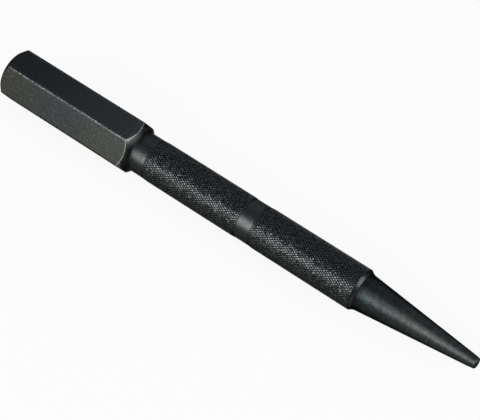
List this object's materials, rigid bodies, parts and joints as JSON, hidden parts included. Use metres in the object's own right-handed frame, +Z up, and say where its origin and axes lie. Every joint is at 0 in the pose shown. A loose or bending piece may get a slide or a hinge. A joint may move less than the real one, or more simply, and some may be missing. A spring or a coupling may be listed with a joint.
{
  "type": "nail setter",
  "caption": "Blackened steel nail setter with a bevelled hexagonal striking head, a diamond-knurled round grip split by a plain band, and a long cone to a small cupped tip.",
  "frame": {"origin": "under the middle of the tool's overall length, on the plane that the head's lower flat rests on", "axes": "+X along the tool from the striking face to the setting tip, +Z up with the head lying on one flat, +Y across"},
  "size_m": [0.102, 0.0106, 0.0093],
  "materials": {
    "ground_black_steel": "black oxide over flat-ground hexagonal bar, worn bright along the edges",
    "turned_black_steel": "satin black oxide over a turned surface",
    "knurled_black_steel": "black oxide over diamond knurling, polished a little on the tips"
  },
  "bodies": {
    "root": {"hex_head": "ground_black_steel", "neck": "turned_black_steel", "rear_grip": "knurled_black_steel", "middle_band": "turned_black_steel", "front_grip": "knurled_black_steel", "taper": "turned_black_steel", "setting_tip": "turned_black_steel"}
  },
  "joints": []
}
